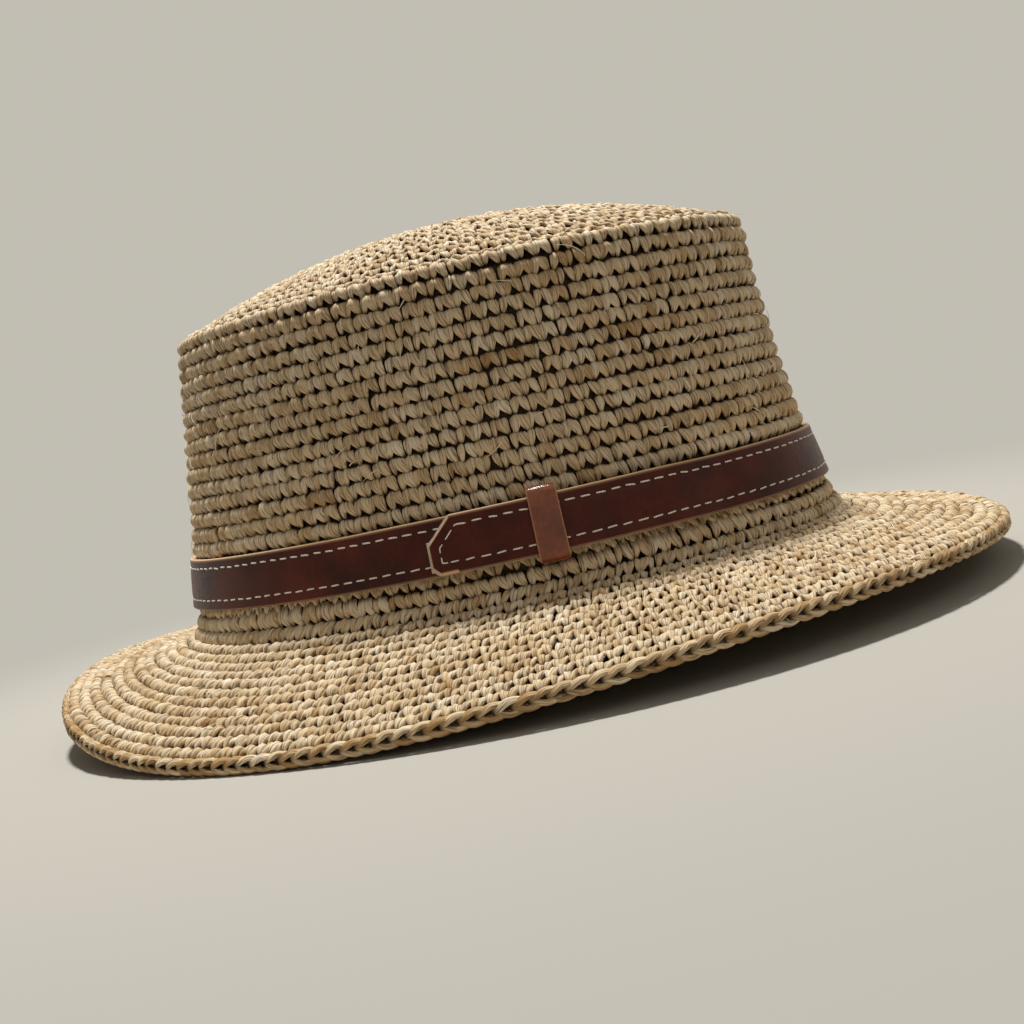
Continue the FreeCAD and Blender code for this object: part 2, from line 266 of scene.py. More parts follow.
# Crochet. A stitch is two broad legs of folded straw, side by side at the top, that narrow to two
# feet with a notch between them. The right leg's share, the overlap and the lean are shares of a
# stitch, the start and end of a leg are shares of a row, and the mess is how uneven the work is.
# The rest is in mm: top, lift and foot are the leg's heights over the hat's face along its length,
# and the depth is that of the stitches below the face. The side is -1 where they look down.

sideStitch = {
    "rowHeight": 4.5, "stitchWidth": 4.8, "rightShare": 0.56, "overlap": 1.16, "lean": 0.16,
    "thickness": 1.5, "lift": 0.75, "top": -1.2, "foot": -1.3, "start": -0.02, "end": 0.97, "mess": 1.0,
    "stations": 7, "corners": 8, "depth": 0, "side": 1,
}
domeStitch = {
    "rowHeight": 4.3, "stitchWidth": 4.3, "rightShare": 0.54, "overlap": 1.16, "lean": 0.2,
    "thickness": 1.4, "lift": 0.6, "top": -1.1, "foot": -1.2, "start": -0.04, "end": 0.98, "mess": 1.1,
    "stations": 6, "corners": 8, "depth": 0, "side": 1,
}
brimStitch = {
    "rowHeight": 4.2, "stitchWidth": 3.8, "rightShare": 0.5, "overlap": 1.2, "lean": -0.38,
    "thickness": 1.6, "lift": 0.8, "top": -1.2, "foot": -1.2, "start": -0.03, "end": 0.97, "mess": 1.2,
    "stations": 6, "corners": 8, "depth": 0, "side": 1,
}
underStitch = {
    "rowHeight": 4.2, "stitchWidth": 3.9, "rightShare": 0.5, "overlap": 1.2, "lean": 0.3,
    "thickness": 1.2, "lift": 0.35, "top": -0.8, "foot": -0.9, "start": -0.05, "end": 1.0, "mess": 1.0,
    "stations": 5, "corners": 6, "depth": brim["thickness"] - 0.6, "side": -1,
}


legForm = {
    "places": [0, 0.25, 0.5, 0.75, 1],         # shares of a leg's length, and its width at each of them
    "widths": [0.85, 1.0, 0.94, 0.62, 0.26],
    "outerEdge": 0.53, "edgeWave": 0.05, "turnedOut": 0.24, "rightHigher": 0.08, "footThickness": 0.55,
}
unevenness = {                                 # standard deviations from stitch to stitch
    "place": 0.05, "share": 0.05, "width": 0.09, "lean": 0.06, "length": 0.06, "height": 0.1, "tilt": 0.12,
    "rowWave": 0.05, "stitchTone": 0.07, "legTone": 0.06, "rowTone": 0.04,
}
strawTone = {"mean": 0.42, "oddShare": 0.04, "oddDarker": (0.05, 0.2), "mapSpread": 300}
profileSteps = 3000
ringSteps = 1441


def evenRows(tStart, tEnd, rowHeight):
    # row limits at even steps of the length along the near side's profile
    fine = np.linspace(tStart, tEnd, profileSteps)
    run = runAlong(hatPoint(fine, -np.pi / 2))
    count = int(round(run[-1] / rowHeight))
    return np.interp(np.linspace(0, run[-1], count + 1), run, fine)


def ringLengths(t):
    # running length round the hat at fine steps of angle, a table to go from length to angle
    fine = np.linspace(-np.pi, np.pi, ringSteps)
    return runAlong(hatPoint(t, fine)), fine


def strandRings(centre, normal, halfWidth, halfThickness, tilt, corners=6, crease=0.0):
    # a flat tube round a path: its side is normal x direction, tilted a little about the path,
    # and its top line is pressed in by the crease, as a fold of straw is
    along = unit(np.gradient(centre, axis=-2))
    side = unit(np.cross(normal, along))
    up = np.cross(along, side)
    turned = side * np.cos(tilt)[..., None] + up * np.sin(tilt)[..., None]
    raised = up * np.cos(tilt)[..., None] - side * np.sin(tilt)[..., None]
    phi = np.arange(corners) * 2 * np.pi / corners
    across = squared(np.cos(phi), 0.8)
    rise = squared(np.sin(phi), 0.8)
    rise = rise - np.asarray(crease)[..., None] * (np.sin(phi) > 0.95)
    rings = (
        centre[..., None, :]
        + turned[..., None, :] * (halfWidth[..., None] * across)[..., None]
        + raised[..., None, :] * (halfThickness[..., None] * rise)[..., None]
    )
    run = np.concatenate([
        np.zeros(centre.shape[:-2] + (1,)),
        np.cumsum(np.linalg.norm(np.diff(centre, axis=-2), axis=-1), -1),
    ], -1)
    uv = np.stack(np.broadcast_arrays(run[..., None] + 0 * phi, halfWidth[..., None] * across), -1)
    return rings, uv


def crochetRow(tTop, tBottom, look):
    # all legs of one round: u runs along the round in stitches, v down it in rows and w out of it in mm,
    # each a smooth curve of the share of the leg's length; a leg's outer edge runs straight down
    run, fine = ringLengths((tTop + tBottom) / 2)
    count = max(int(round(run[-1] / look["stitchWidth"])), 6)
    pitch = run[-1] / count
    side = look["side"]

    def vary(key, legs):
        return rng.normal(0, unevenness[key] * look["mess"], (count, legs, 1))

    place = (np.arange(count) + rng.random()) * pitch + vary("place", 1)[:, 0, 0] * pitch
    turns = place / run[-1] * 2 * np.pi
    rowWave = unevenness["rowWave"] * np.sin(turns * rng.integers(3, 9) + rng.random() * 6)
    leg = np.array([-1.0, 1.0])[None, :, None]
    along = np.linspace(0, 1, look["stations"])[None, None, :]
    share = np.where(leg > 0, look["rightShare"], 1 - look["rightShare"])
    share = share + leg * rng.normal(0, unevenness["share"], (count, 1, 1))
    narrowing = np.interp(along, legForm["places"], legForm["widths"])
    half = share / 2 * narrowing * look["overlap"] * (1 + vary("width", 2))
    lean = look["lean"] + vary("lean", 1)
    outerEdge = legForm["outerEdge"] - legForm["edgeWave"] * np.cos(np.pi * along) ** 2
    u = leg * (outerEdge - half) + lean * (along - 0.5)
    length = look["end"] - look["start"]
    stretch = 1 + vary("length", 2)
    v = look["start"] + length * along * stretch + rowWave[:, None, None]
    bulge = np.sin(np.pi * (0.02 + 0.93 * along) ** 0.75) ** 0.6      # a steep rise and a slower fall
    low = look["top"] + (look["foot"] - look["top"]) * along
    w = low + (look["lift"] - low) * bulge + vary("height", 2) + leg * legForm["rightHigher"]
    s = (place[:, None, None] + u * pitch) % run[-1]
    angle = np.interp(s, run, fine)
    t = np.clip(tTop + (tBottom - tTop) * v, 0.003, 4.985)
    point, normal = hatFrame(t, angle)
    # the leg's height over the face before it is pressed, which the material turns into painted shade
    # where it is low
    height = w[..., None]
    rise = point[..., 2] - basePlane
    beyond = strap["pressedBeyond"]                                   # under the strap it lies flat
    pressed = smoothShare(rise, strapBottom - beyond, strapBottom)
    pressed = pressed * (1 - smoothShare(rise, strapTop, strapTop + beyond))
    w = w - pressed * np.maximum(w + look["thickness"] / 2 - 0.05, 0)
    centre = point + normal * (side * w - look["depth"])[..., None]
    halfWidth = half * pitch
    footThickness = legForm["footThickness"]
    halfThickness = look["thickness"] / 2 * (footThickness + (1 - footThickness) * bulge) + 0 * halfWidth
    tilt = -leg * side * legForm["turnedOut"] + vary("tilt", 2) + 0 * halfWidth
    crease = rng.uniform(0.0, 0.75, (count, 2, 1)) * bulge
    rings, uv = strandRings(
        centre, normal * side, halfWidth, halfThickness, tilt, look["corners"], crease)
    tone = rng.normal(strawTone["mean"], unevenness["stitchTone"], (count, 1, 1, 1))
    tone = tone + rng.normal(0, unevenness["legTone"], (count, 2, 1, 1))
    tone = tone + rng.normal(0, unevenness["rowTone"])
    odd = rng.random((count, 1, 1, 1)) < strawTone["oddShare"]
    odd = odd * rng.uniform(*strawTone["oddDarker"], (count, 1, 1, 1))
    tint = np.clip(tone + odd, 0, 1)
    uv = uv + rng.random((count, 2, 1, 1, 2)) * strawTone["mapSpread"]
    height = height + 0 * rings[..., 0]
    shape = (-1, look["stations"], look["corners"])
    return (
        rings.reshape(shape + (3,)),
        uv.reshape(shape + (2,)),
        np.broadcast_to(tint, rings.shape[:-1]).reshape(shape),
        height.reshape(shape),
    )


def crochetObject(name, rows, look):
    # all rounds between the row limits as one piece
    parts = [crochetRow(rows[i], rows[i + 1], look) for i in range(len(rows) - 1)]
    rings, uv, tint, height = [np.concatenate(column) for column in zip(*parts)]
    print(name, len(rows) - 1, "rounds,", len(rings), "legs")
    return tubesObject(name, rings, uv, {"tint": tint, "height": height})


domeRows = evenRows(0.0, 1.35, domeStitch["rowHeight"])
sideRows = evenRows(1.35, 3.35, sideStitch["rowHeight"])
brimRows = evenRows(3.35, 5.0, brimStitch["rowHeight"])
underRows = evenRows(3.6, 5.0, underStitch["rowHeight"])
domeSplit = int(len(domeRows) * 0.6)
sideThird = len(sideRows) // 3
brimThird = len(brimRows) // 3
underHalf = len(underRows) // 2

crochetPieces = {                              # row limits, stitch and node of each piece
    "domeInnerCrochet": (domeRows[:domeSplit + 1], domeStitch, "crown_tip"),
    "domeOuterCrochet": (domeRows[domeSplit:], domeStitch, "crown_tip"),
    "crownUpperCrochet": (sideRows[:sideThird + 1], sideStitch, "crown_side"),
    "crownMiddleCrochet": (sideRows[sideThird:2 * sideThird + 1], sideStitch, "crown_side"),
    "crownLowerCrochet": (sideRows[2 * sideThird:], sideStitch, "crown_side"),
    "brimInnerCrochet": (brimRows[:brimThird + 2], brimStitch, "brim"),
    "brimMiddleCrochet": (brimRows[brimThird + 1:2 * brimThird + 2], brimStitch, "brim"),
    "brimOuterCrochet": (brimRows[2 * brimThird + 1:], brimStitch, "brim"),
    "underInnerCrochet": (underRows[:underHalf + 2], underStitch, "brim"),
    "underOuterCrochet": (underRows[underHalf + 1:], underStitch, "brim"),
}
crochet = {name: crochetObject(name, rows, look) for name, (rows, look, node) in crochetPieces.items()}


# The brim's edge is a chain seen from its side: two strands to a stitch part from one point like an
# arrow's head and leave a deep hollow between them.

edgeChain = {
    "stitchLength": 4.3, "upperWidth": 2.5, "lowerWidth": 1.7, "thickness": 1.3, "upperWrap": 1.2,
    "lowerWrap": 0.85, "reach": 1.9, "radius": 1.75, "dive": 1.3, "stations": 9, "corners": 6,
    "places": [0, 0.2, 0.5, 0.8, 1], "opening": [0.1, 0.5, 1.0, 1.1, 0.9], "raised": 0.05,
    # tint 0.62 is darker than the stitches' mean of 0.42: painted shade for an edge that faces down, away
    # from the light
    "tint": 0.62, "tintSpread": 0.13,
}


def makeEdgeChain():
    # position = edge line + radius (cos phi outward + sin phi up); phi opens up or down to its wrap and
    # the radius rises as a half sine while the strand runs along
    run, fine = ringLengths(5.0)
    count = int(round(run[-1] / edgeChain["stitchLength"]))
    pitch = run[-1] / count
    place = np.arange(count) * pitch + rng.normal(0, 0.05 * pitch, count)
    leg = np.array([-1.0, 1.0])[None, :, None]
    along = np.linspace(0, 1, edgeChain["stations"])[None, None, :]
    opening = np.interp(along, edgeChain["places"], edgeChain["opening"])
    wrap = np.where(leg > 0, edgeChain["upperWrap"], edgeChain["lowerWrap"])
    phi = leg * wrap * opening + rng.normal(0, 0.07, (count, 2, 1)) + edgeChain["raised"]
    s = (place[:, None, None] + along * edgeChain["reach"] * pitch) % run[-1]
    angle = np.interp(s, run, fine)
    outward = unit(np.stack([
        np.cos(angle) * edgeHalfWidth, np.sin(angle) * edgeHalfLength, 0 * angle,
    ], -1))
    upward = np.array([0.0, 0.0, 1.0])
    normal = outward * np.cos(phi)[..., None] + upward * np.sin(phi)[..., None]
    bulge = np.sin(np.pi * (0.03 + 0.9 * along)) ** 0.7
    radius = edgeChain["radius"] - edgeChain["dive"] * (1 - bulge) + 0 * phi
    centre = edgeLine(angle) + normal * radius[..., None]
    width = np.where(leg > 0, edgeChain["upperWidth"], edgeChain["lowerWidth"])
    halfWidth = width / 2 * (0.45 + 0.55 * bulge) * (1 + rng.normal(0, 0.08, (count, 2, 1)))
    halfThickness = edgeChain["thickness"] / 2 * (0.5 + 0.5 * bulge) + 0 * halfWidth
    crease = rng.uniform(0.0, 0.5, (count, 2, 1)) * bulge
    rings, uv = strandRings(
        centre, normal, halfWidth, halfThickness, 0 * halfWidth, edgeChain["corners"], crease)
    tint = np.clip(rng.normal(edgeChain["tint"], edgeChain["tintSpread"], (count, 2, 1, 1)), 0, 1)
    uv = uv + rng.random((count, 2, 1, 1, 2)) * strawTone["mapSpread"]
    # painted shade: the strands' ends, where they dive round the edge, get a low height and so the painted
    # shade colour
    height = (2.2 * bulge - 1.3)[..., None] + 0 * rings[..., 0]
    shape = (-1, edgeChain["stations"], edgeChain["corners"])
    return tubesObject("brimEdgeChain", rings.reshape(shape + (3,)), uv.reshape(shape + (2,)), {
        "tint": np.broadcast_to(tint, rings.shape[:-1]).reshape(shape),
        "height": height.reshape(shape),
    })


brimEdgeChain = makeEdgeChain()
print("edge chain made")


# The body of the crochet behind the legs: a closed shell with a ridge for each round on its inner face,
# drawn in painted shade.

shellLook = {
    "outerDepth": 1.2, "innerRidge": 0.55, "innerBump": 0.3, "bumps": 116, "slant": 0.8, "angles": 240,
    "outerStations": 30, "innerStations": 130, "mapRadius": 90, "mapRegion": 40,
}


def makeShell(name, tStart, tEnd, rows, thickness):
    # outer face = hat surface less a depth; inner face = hat surface less the thickness, with ridges
    # along and across the rounds that rise as the size of a sine
    angle = np.linspace(0, 2 * np.pi, shellLook["angles"], endpoint=False)[:, None]
    outerT = np.linspace(tStart, tEnd, shellLook["outerStations"])[None, :]
    innerT = np.linspace(tEnd, tStart, shellLook["innerStations"])[None, :]
    outerPoint, outerNormal = hatFrame(outerT + 0 * angle, angle + 0 * outerT)
    innerPoint, innerNormal = hatFrame(innerT + 0 * angle, angle + 0 * innerT)
    rowNumber = np.interp(innerT, rows, np.arange(len(rows)))
    ridge = np.abs(np.sin(np.pi * rowNumber))
    stitchPhase = angle * shellLook["bumps"] / 2 + np.pi * 0.5 * np.floor(rowNumber)
    bump = np.abs(np.sin(stitchPhase + shellLook["slant"] * np.sin(np.pi * rowNumber)))
    depth = thickness - shellLook["innerRidge"] * (1 - ridge) - shellLook["innerBump"] * (1 - bump)
    outer = outerPoint - outerNormal * shellLook["outerDepth"]
    inner = innerPoint - innerNormal * depth[..., None]
    grid = np.concatenate([outer, inner], 1)
    meets = tStart < 0.01
    if meets:                                  # both sides of the dome's middle line share its points
        mirrored = np.roll(grid[::-1], 1, axis=0)
        grid[:, [0, -1]] = (grid[:, [0, -1]] + mirrored[:, [0, -1]]) / 2
        grid[:, [0, -1], 1] = 0
    tAll = np.concatenate([outerT, innerT], 1) + 0 * angle
    uv = np.stack([angle * shellLook["mapRadius"] + 0 * tAll, tAll * shellLook["mapRegion"]], -1)
    # painted shade: the outer face gets the lowest height, so it is wholly the dark back colour, standing
    # in for the shade in the gaps between legs; the inner face darkens in the grooves between its ridges
    height = np.concatenate([np.full(outerT.shape, -1.3), ridge * 0.8 - 0.2], 1) + 0 * angle
    tint = 0.45 + 0 * tAll
    shell = gridObject(name, grid, uv, {"height": height, "tint": tint}, not meets)
    if meets:                                  # the dome's two sides meet in a line, which is welded
        welded = bmesh.new()
        welded.from_mesh(shell.data)
        bmesh.ops.remove_doubles(welded, verts=welded.verts, dist=0.002 * mm)
        welded.to_mesh(shell.data)
        welded.free()
    return shell


crownTipShell = makeShell("crownTipShell", 0.0, 1.6, domeRows, crown["wallThickness"])
crownSideShell = makeShell("crownSideShell", 1.6, 3.0, sideRows, crown["wallThickness"])
brimShell = makeShell("brimShell", 3.0, 5.0, brimRows, brim["thickness"] - 0.5)
print("shells made")


# The strap: a leather ply on a lining ply, carried along one path that laps over itself.

def forwardOf(angle, distance, steps=40):
    # small steps along the oval at the strap's middle height: each step's length over the oval's slope
    a, b, _ = wallOval(strapMiddle)
    for _ in range(steps):
        angle += distance / steps / np.hypot(a * np.sin(angle), b * np.cos(angle))
    return angle


tipAngle = forwardOf(-np.pi / 2, strap["tipForward"])
roomFullAngle = forwardOf(tipAngle, -keeper["roomBeforeTip"])
roomStartAngle = forwardOf(roomFullAngle, -strap["lapRampLength"])
keeperAngle = forwardOf(tipAngle, keeper["fromTip"])
underEndAngle = forwardOf(keeperAngle, keeper["underEndPast"])
rampTopAngle = forwardOf(underEndAngle, strap["lapRampGap"])
rampFootAngle = forwardOf(rampTopAngle, strap["lapRampLength"])


def strapOffset(pathAngle):
    # inner face off the crown: room for the keeper's back, and one strap's thickness more on the
    # second pass
    second = pathAngle < -1.5 * np.pi
    place = np.where(second, pathAngle + 2 * np.pi, pathAngle)
    before = smoothShare(place, roomStartAngle, roomFullAngle)
    after = smoothShare(place, rampFootAngle, rampTopAngle)
    return strap["clearance"] + keeperRoom * before * after + np.where(second, lapRise * after, 0)


def strapPoint(pathAngle, height, offset):
    # wall point moved out by the offset, square to the wall's lean over the strap's width
    place = wallPoint(pathAngle, height, 0)
    outward = wallPoint(pathAngle, height, 1) - place
    upward = wallPoint(pathAngle, strapTop, 0) - wallPoint(pathAngle, strapBottom, 0)
    outward[..., 2] = -(upward * outward).sum(-1) / strap["width"]
    return place + unit(outward) * np.asarray(offset)[..., None]


pathFine = np.linspace(tipAngle - 2 * np.pi, underEndAngle, 4000)
pathLine = strapPoint(pathFine, strapMiddle, strapOffset(pathFine) + strapThickness)
pathRun = runAlong(pathLine)
strapLength = pathRun[-1]
halfStrap = strap["width"] / 2


def strapSurface(along, up, out):
    # along in mm from the tip, up from the strap's middle line, out from its inner face
    pathAngle = np.interp(along, pathRun, pathFine)
    return strapPoint(pathAngle, strapMiddle + up, strapOffset(pathAngle) + out)


def makePly(name, inner, outer, margin, grooved):
    # rounded section carried along the path; near the tip its top and bottom close in along the cut
    # corners, and the margin is how far the ply reaches past them
    along = np.unique(np.concatenate([
        -margin + np.array([0.0, 0.12, 0.35, 0.7]),
        np.arange(1, strap["tipLength"], strap["tipStep"]),
        np.arange(strap["tipLength"], strapLength, strap["step"]),
        [strapLength],
    ]))
    radius = min(strap["edgeRadius"], (outer - inner) * 0.45)
    fromTip = margin + np.maximum(along, 0)
    high = halfStrap - np.maximum(strap["tipChamfer"] - fromTip, 0)
    low = -halfStrap + np.maximum(strap["tipLowerChamfer"] - fromTip, 0)
    face = np.linspace(-1, 1, strap["facePoints"])
    arc = np.radians(np.array([22.5, 45, 67.5]))
    shares = np.concatenate([face, [1, 1, 1, 1], [1, 0, -1], [-1, -1, -1, -1]])
    extra = np.concatenate([
        0 * face, radius * np.append(np.sin(arc), 1), [0] * 3, -radius * np.append(1, np.cos(arc)),
    ])
    depth = np.concatenate([
        np.full(face.shape, outer),
        outer - radius + radius * np.append(np.cos(arc), 0),
        [inner] * 3,
        outer - radius + radius * np.append(0, np.sin(arc)),
    ])
    onFace = np.arange(len(depth)) < len(face)
    middle = ((high + low) / 2)[:, None]
    reach = ((high - low) / 2 - radius)[:, None]
    up = middle + reach * shares + extra
    out = depth + 0 * up
    if grooved:
        row = halfStrap - strap["threadInset"]
        dip = np.exp(-((np.abs(up) - row) / strap["grooveWidth"]) ** 2) * strap["groove"]
        dip = dip * smoothShare(along, 6, 11)[:, None]
        swell = strap["swell"] * (1 - (up / halfStrap) ** 2)
        out = out + np.where(onFace, swell - dip, 0)
    shrink = np.clip((along + margin) / 0.7, 0, 1)[:, None]           # rounds the cut end
    out = np.where(out > (inner + outer) / 2, out - 0.35 * radius * (1 - shrink) ** 2, out)
    grid = strapSurface(along[:, None] + 0 * up, up, out)
    if margin:                                                        # straight on past the path's end
        ahead = strapSurface(0 * up, up, out) - strapSurface(1 + 0 * up, up, out)
        grid = grid - ahead * np.minimum(along, 0)[:, None, None]
    nearTip = (along < strap["tipChamfer"])[:, None]
    rim = np.where(shares > 0, 1.0, np.where(nearTip, 1.0, 0.25))     # pale cut edge on the upper rim and at the tip; the lower rim is darkened as painted shade
    rawEdge = np.where(onFace, 0.0, rim) + 0 * up
    # the face's top line takes a little of the pale edge colour, widening the upper edge: painted
    # highlight
    rawEdge = np.where(onFace & (shares == 1), np.where(nearTip, 1.0, 0.35), rawEdge)
    rawEdge = np.where(onFace & (shares == -1) & nearTip, 0.8, rawEdge)
    rawEdge = np.where(along[:, None] < 0.3 - margin, 1.0, rawEdge)
    uv = np.stack([along[:, None] + 0 * up, up], -1)
    return tubesObject(name, grid[None, :, ::-1], uv[None, :, ::-1], {"rawEdge": rawEdge[None, :, ::-1]})


strapLeather = makePly("strapLeather", strap["liningThickness"], strapThickness, 0.0, True)
strapLining = makePly("strapLining", 0.0, strap["liningThickness"], strap["liningMargin"], False)
print("strap", round(strapLength), "mm long")


# Thread: short straight stitches that dip into the leather, in a line that follows the strap's outline

thread = {
    "pitch": 4.2, "stitch": 3.1, "tipStitch": 4.7, "width": 0.46, "proud": 0.03, "sunk": 0.45,
    "slant": 0.12, "slantSpread": 0.1, "stations": 7,
}


def makeThread():
    # even steps along a line inside the strap's outline; each stitch rises as a half sine between its
    # two holes
    row = halfStrap - strap["threadInset"]
    slant = strap["tipChamfer"] + strap["threadInset"] * (np.sqrt(2) - 1)
    line = np.array([
        (strapLength - 1.0, row),
        (slant, row),
        (strap["threadInset"], halfStrap - slant),
        (strap["threadInset"], -row),
        (strapLength - 1.0, -row),
    ])
    run = runAlong(line)
    count = int(run[-1] / thread["pitch"])
    start = (np.arange(count) + 0.25) * thread["pitch"]
    share = np.linspace(0, 1, thread["stations"])[None, :]
    atTip = (start > run[1] - thread["pitch"]) & (start < run[3])     # sewn twice there, with no gaps
    stitch = np.where(atTip, thread["tipStitch"], thread["stitch"])[:, None]
    place = start[:, None] + share * stitch * (1 + rng.normal(0, 0.04, (count, 1)))
    along = np.interp(place, run, line[:, 0])
    up = np.interp(place, run, line[:, 1]) + rng.normal(0, 0.06, (count, 1))
    up = up + (share - 0.5) * rng.normal(thread["slant"], thread["slantSpread"], (count, 1))
    rise = -thread["sunk"] + (thread["sunk"] + thread["proud"]) * np.sin(np.pi * share) ** 0.35
    centre = strapSurface(along, up, strapThickness + rise)
    normal = strapSurface(along, up, strapThickness + 1) - strapSurface(along, up, strapThickness)
    halfWidth = thread["width"] / 2 + 0 * along
    rings, uv = strandRings(centre, normal, halfWidth, halfWidth * 0.8, 0 * along)
    return tubesObject("strapThread", rings, uv, {"tint": rng.random((count, 1, 1))})


strapThread = makeThread()
print("thread made")


def makeKeeper():
    # a domed section carried round a rounded oblong, then bent round the strap's own curve
    a, b, _ = wallOval(strapMiddle)
    size = np.hypot(a * np.sin(keeperAngle), b * np.cos(keeperAngle))
    radius = size ** 3 / (a * b)
    place = wallPoint(keeperAngle, strapMiddle, 0)
    direction = wallPoint(keeperAngle, strapMiddle, 1) - place
    low = wallPoint(keeperAngle, strapBottom, 0)
    high = wallPoint(keeperAngle, strapTop, 0)
    lean = np.arctan2(((low - high) * direction).sum(), high[2] - low[2])
    centre = place - direction * radius
    heading = np.arctan2(direction[1], direction[0])

    left = strap["clearance"] + keeper["thickness"] / 2
    right = left + 2 * (strapThickness + keeper["clearance"]) + strap["lapClearance"] + keeper["thickness"]
    halfHigh = halfStrap + keeper["endClearance"] + keeper["thickness"] / 2
    corner = keeper["cornerRadius"] - keeper["thickness"] / 2
    turn = np.radians(np.linspace(0, 90, 9))
    corners = []                                # place and direction at each step of the four corners
    for cx, cz, start in (
        (right - corner, halfHigh - corner, 0), (left + corner, halfHigh - corner, 90),
        (left + corner, -halfHigh + corner, 180), (right - corner, -halfHigh + corner, 270),
    ):
        direct = np.stack([np.cos(turn + np.radians(start)), np.sin(turn + np.radians(start))], -1)
        corners.append(np.concatenate([np.array([cx, cz]) + corner * direct, direct], -1))
    closed = np.concatenate(corners + [corners[0][:1]])
    run = runAlong(closed[:, :2])
    even = np.linspace(0, run[-1], keeper["stations"], endpoint=False)
    path = np.stack([np.interp(even, run, closed[:, i]) for i in range(4)], -1)
    path, facing = path[:, :2], unit(path[:, 2:])

    phi = np.linspace(0, 2 * np.pi, keeper["corners"], endpoint=False)
    across = keeper["width"] / 2 * squared(np.cos(phi), 0.5)
    out = keeper["thickness"] / 2 * squared(np.sin(phi), 0.55)
    sideways = np.abs(across / (keeper["width"] / 2))
    out = out - keeper["doming"] * np.where(np.sin(phi) > 0, sideways ** 4, 0)
    flat = path[:, None, :] + facing[:, None, :] * out[None, :, None]
    x = flat[..., 0] * np.cos(lean) - flat[..., 1] * np.sin(lean) + radius
    z = flat[..., 0] * np.sin(lean) + flat[..., 1] * np.cos(lean)
    angle = heading + across[None, :] / radius + 0 * x
    grid = np.stack([
        centre[0] + x * np.cos(angle), centre[1] + x * np.sin(angle), basePlane + strapMiddle + z,
    ], -1)
    uv = np.stack([even[:, None] + 0 * x, across[None, :] + 0 * x], -1)
    rim = (sideways > 0.93) + 0 * x
    return gridObject("keeperLoopLeather", grid[:, ::-1], uv[:, ::-1], {"rawEdge": rim[:, ::-1]}, True)


keeperLoopLeather = makeKeeper()

ribbon = {
    "height": 26.0, "thickness": 0.8, "lowerEdge": 1.0, "clearance": 0.5, "wave": 0.12, "waves": (9, 4),
    "mapRadius": 98,
}


def makeSweatband():
    # rounded section carried round the inside of the crown, with a slow ripple in and out; it follows
    # the wall down to the flare and hangs straight below it
    angle = np.linspace(0, 2 * np.pi, 360, endpoint=False)[:, None]
    phi = np.linspace(0, 2 * np.pi, 32, endpoint=False)[None, :]
    share = squared(np.cos(phi), 0.35)
    height = ribbon["lowerEdge"] + ribbon["height"] / 2 * (1 + share) + 0 * angle
    fast, slow = ribbon["waves"]
    ripple = ribbon["wave"] * np.sin(angle * fast) * np.sin(angle * slow + 1) * (0.3 + 0.7 * np.abs(share))
    thick = ribbon["thickness"] / 2 * squared(np.sin(phi), 0.5)
    offset = -crown["wallThickness"] - ribbon["clearance"] - ribbon["thickness"] / 2 + thick + ripple
    held = np.maximum(height, brim["flareHeight"])
    grid = wallPoint(angle + 0 * phi, held, offset)
    grid[..., 2] += height - held
    uv = np.stack([angle * ribbon["mapRadius"] + 0 * phi, height + 0 * angle], -1)
    return gridObject("sweatbandRibbon", grid, uv, None, True)


sweatbandRibbon = makeSweatband()
print("keeper and sweatband made")


# Loose ends of straw that stand out of the crochet

wisps = {
    "count": 300, "width": 0.36, "length": (2.5, 8.5), "rise": (0.15, 0.5), "curl": 0.35, "start": 0.6,
    "domeShare": 0.25, "brimShare": 0.35, "dome": (0.1, 1.3), "wall": (2.0, 2.7), "brim": (3.6, 5.0),
    # their tint keeps the loose fibres paler than the stitches: a painted highlight for fibres that stand
    # out into the light
    "thinness": (0.6, 1.6), "tint": (0.0, 0.25), "stations": 9,
}


def makeWisps():
    # a point of the surface, then a curve that leaves it at a slant and bends over
    count = wisps["count"]
    region = rng.random(count)
    onDome, onWall, onBrim = [rng.uniform(*wisps[place], count) for place in ("dome", "wall", "brim")]
    t = np.where(region < wisps["domeShare"], onDome, onWall)
    t = np.where(region > 1 - wisps["brimShare"], onBrim, t)
    angle = rng.uniform(-np.pi, np.pi, count)
    point, normal = hatFrame(t, angle)
    along = unit(hatPoint(t, angle + 0.01) - point)
    across = np.cross(normal, along)
    heading = rng.uniform(-np.pi, np.pi, count)[:, None]
    direct = along * np.cos(heading) + across * np.sin(heading)
    length = rng.uniform(*wisps["length"], count)[:, None, None]
    share = np.linspace(0, 1, wisps["stations"])[None, :, None]
    curl = rng.normal(0, wisps["curl"], (count, 1, 1))
    rise = rng.uniform(*wisps["rise"], (count, 1, 1))
    sideways = np.cross(normal, direct)
    centre = (
        point[:, None] + direct[:, None] * length * share
        + normal[:, None] * (wisps["start"] + length * rise * share * (1.2 - share))
        + sideways[:, None] * length * curl * share ** 2
    )
    taper = 1 - 0.7 * share[..., 0]
    halfWidth = wisps["width"] / 2 * taper * rng.uniform(*wisps["thinness"], (count, 1))
    rings, uv = strandRings(
        centre, normal[:, None] + 0 * centre, halfWidth, halfWidth * 0.5, 0 * halfWidth)
    tint = rng.uniform(*wisps["tint"], (count, 1, 1))
    uv = uv + rng.random((count, 1, 1, 2)) * strawTone["mapSpread"]
    return tubesObject("looseStraw", rings, uv, {"tint": tint, "height": 1.0 + 0 * tint})


looseStraw = makeWisps()


# Materials

def linear(hexColour):
    # sRGB hex to linear, one channel at a time
    values = np.array([int(hexColour[i:i + 2], 16) for i in (1, 3, 5)]) / 255
    values = np.where(values <= 0.04045, values / 12.92, ((values + 0.055) / 1.055) ** 2.4)
    return (*values.tolist(), 1.0)


